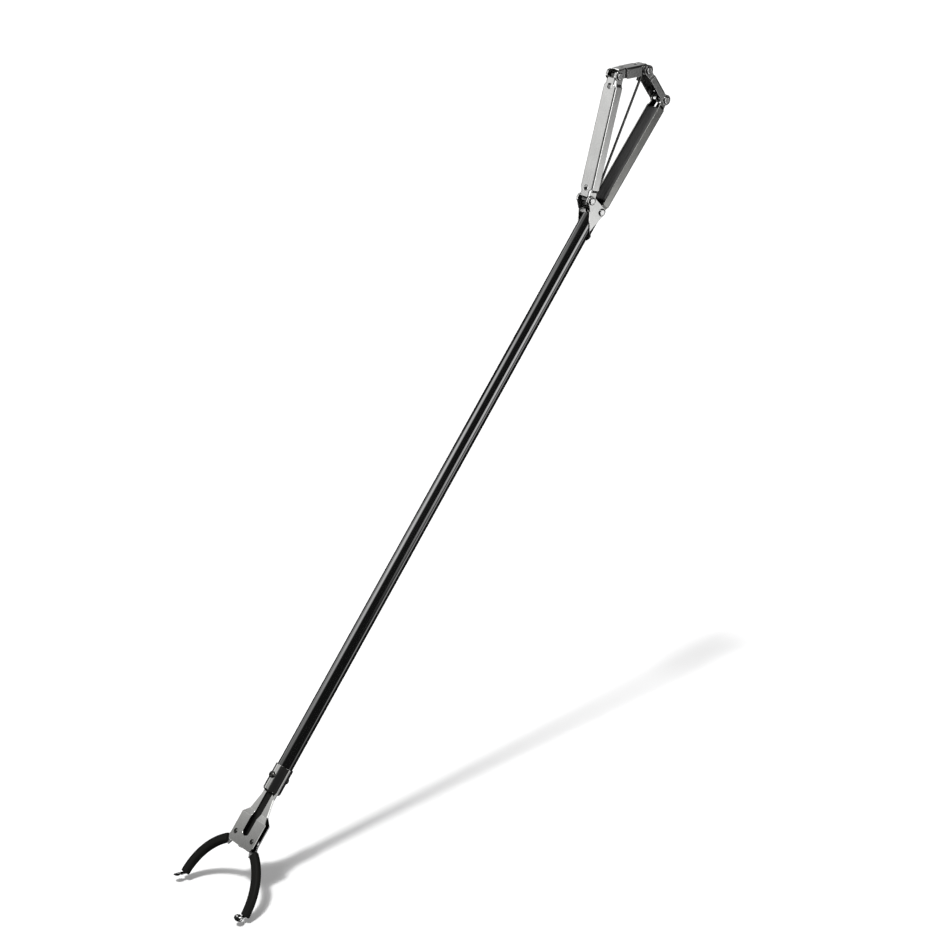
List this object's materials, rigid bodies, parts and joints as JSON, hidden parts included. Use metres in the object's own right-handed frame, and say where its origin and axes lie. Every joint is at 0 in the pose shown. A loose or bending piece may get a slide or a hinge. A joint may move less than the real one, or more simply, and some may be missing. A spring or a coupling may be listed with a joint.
{
  "type": "reacher grabber",
  "caption": "Hand-held pick-up tool: a folded steel squeeze handle pulls a rod through a long tube and closes two rubber-sleeved jaw fingers with spoon tips.",
  "frame": {"origin": "on the shaft's axis, at the middle of the tube's length", "axes": "+Z along the shaft towards the handle; +X the direction in which the jaw opens, and the axis of the handle's pins; +Y from the squeeze lever towards the fixed bar"},
  "size_m": [0.1132, 0.0778, 0.9102],
  "materials": {
    "tube_black": "gloss coating",
    "jaw_steel": "satin zinc plate",
    "shell_steel": "satin zinc plate",
    "rivet_steel": "bright",
    "dark_rivet": "dark",
    "lever_steel": "satin zinc plate",
    "bar_steel": "satin zinc plate",
    "link_steel": "satin zinc plate",
    "grip_plastic": "fine grain",
    "rod_steel": "drawn wire",
    "guide_plastic": "moulded",
    "strap_steel": "blackened",
    "spring_steel": "spring wire",
    "finger_steel": "satin",
    "sleeve_rubber": "matte rubber",
    "tip_steel": "bright"
  },
  "bodies": {
    "root": {"shaft_tube": "tube_black", "tube_end_plug": "guide_plastic", "rod_guide": "guide_plastic", "spring_stop": "guide_plastic", "jaw_plate_front": "jaw_steel", "jaw_plate_rear": "shell_steel", "shell_rivets": "dark_rivet", "finger_pivot_rivets": "dark_rivet", "handle_bracket": "lever_steel", "bracket_rivet": "dark_rivet", "fixed_bar": "bar_steel", "grip_insert": "grip_plastic", "bar_rivet": "rivet_steel", "lever_pin": "rivet_steel", "outer_link_pin": "rivet_steel", "outer_pin_bush": "link_steel", "return_spring": "spring_steel"},
    "lever": {"squeeze_lever": "lever_steel", "inner_link_pin": "rivet_steel"},
    "link_inner": {"inner_link": "link_steel", "knee_pin": "rivet_steel", "knee_spacers": "link_steel"},
    "link_outer": {"outer_link": "link_steel"},
    "rod": {"pull_rod": "rod_steel", "rod_clevis": "rod_steel", "clevis_pin": "rivet_steel", "pull_strap": "strap_steel", "strap_rivet": "rivet_steel", "drive_pin": "rivet_steel", "spring_seat": "guide_plastic"},
    "hook": {"hook_rod": "rod_steel"},
    "finger_left": {"finger_left_core": "finger_steel", "finger_left_sleeve": "sleeve_rubber", "finger_left_tip": "tip_steel"},
    "finger_right": {"finger_right_core": "finger_steel", "finger_right_sleeve": "sleeve_rubber", "finger_right_tip": "tip_steel"}
  },
  "joints": [
    {"name": "lever", "type": "hinge", "parent": "root", "child": "lever", "pos_m": [0, -0.0152, 0.329], "axis": [-1, 0, 0], "range_deg": [0, 5.87], "stiffness_Nm_per_rad": 5.9, "springref_deg": -6.7},
    {"name": "link_inner", "type": "hinge", "parent": "lever", "child": "link_inner", "pos_m": [0, -0.06077, 0.44293], "axis": [1, 0, 0], "range_deg": [0, 20.55]},
    {"name": "link_outer", "type": "hinge", "parent": "root", "child": "link_outer", "pos_m": [0, 0.00558, 0.45397], "axis": [-1, 0, 0], "range_deg": [0, 17.75]},
    {"name": "rod", "type": "slide", "parent": "root", "child": "rod", "axis": [0, 0, 1], "range_m": [0, 0.00959], "deforming": ["return_spring"]},
    {"name": "hook", "type": "hinge", "parent": "rod", "child": "hook", "pos_m": [0, 0, 0.3042], "axis": [-1, 0, 0], "range_deg": [0, 1.94]},
    {"name": "finger_left", "type": "hinge", "parent": "root", "child": "finger_left", "pos_m": [-0.0139, 0, -0.3697], "axis": [0, -1, 0], "range_deg": [0, 38.02]},
    {"name": "finger_right", "type": "hinge", "parent": "root", "child": "finger_right", "pos_m": [0.0139, 0, -0.3697], "axis": [0, 1, 0], "range_deg": [0, 38.02]}
  ],
  "couplings": [
    {"joint": "link_inner", "follows": "lever", "ratio": 3.5025},
    {"joint": "link_outer", "follows": "lever", "ratio": 3.0251},
    {"joint": "rod", "follows": "lever", "m_per_rad": 0.093512},
    {"joint": "hook", "follows": "lever", "ratio": 0.32844},
    {"joint": "finger_left", "follows": "lever", "ratio": 6.4791},
    {"joint": "finger_right", "follows": "lever", "ratio": 6.4791}
  ]
}
